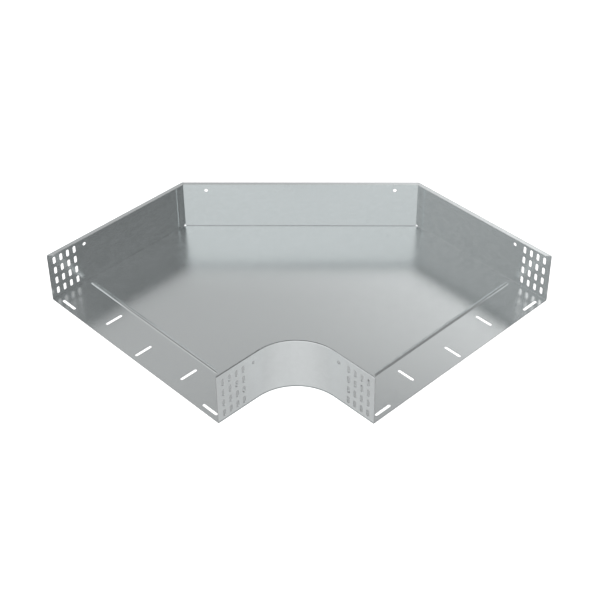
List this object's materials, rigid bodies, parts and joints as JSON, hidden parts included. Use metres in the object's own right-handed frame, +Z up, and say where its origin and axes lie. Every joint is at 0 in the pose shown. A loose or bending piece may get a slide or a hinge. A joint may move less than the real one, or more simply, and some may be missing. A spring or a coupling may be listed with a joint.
{
  "type": "cable tray bend",
  "caption": "Flat right-angle bend for a wide cable tray in folded galvanised sheet, with a curved inner wall, a bevelled back and slotted wall ends.",
  "frame": {"origin": "centre of the bounding box on the underside of the floor", "axes": "+Z up out of the tray; one mouth opens towards -X and the other towards -Y, so the curved inner wall is towards -X -Y and the back wall towards +X +Y"},
  "size_m": [0.7, 0.7, 0.114],
  "materials": {
    "galvanised_sheet": "bright galvanised sheet, smooth, with soft reflections"
  },
  "bodies": {
    "root": {"folded_tray": "galvanised_sheet", "inner_wall": "galvanised_sheet"}
  },
  "joints": []
}
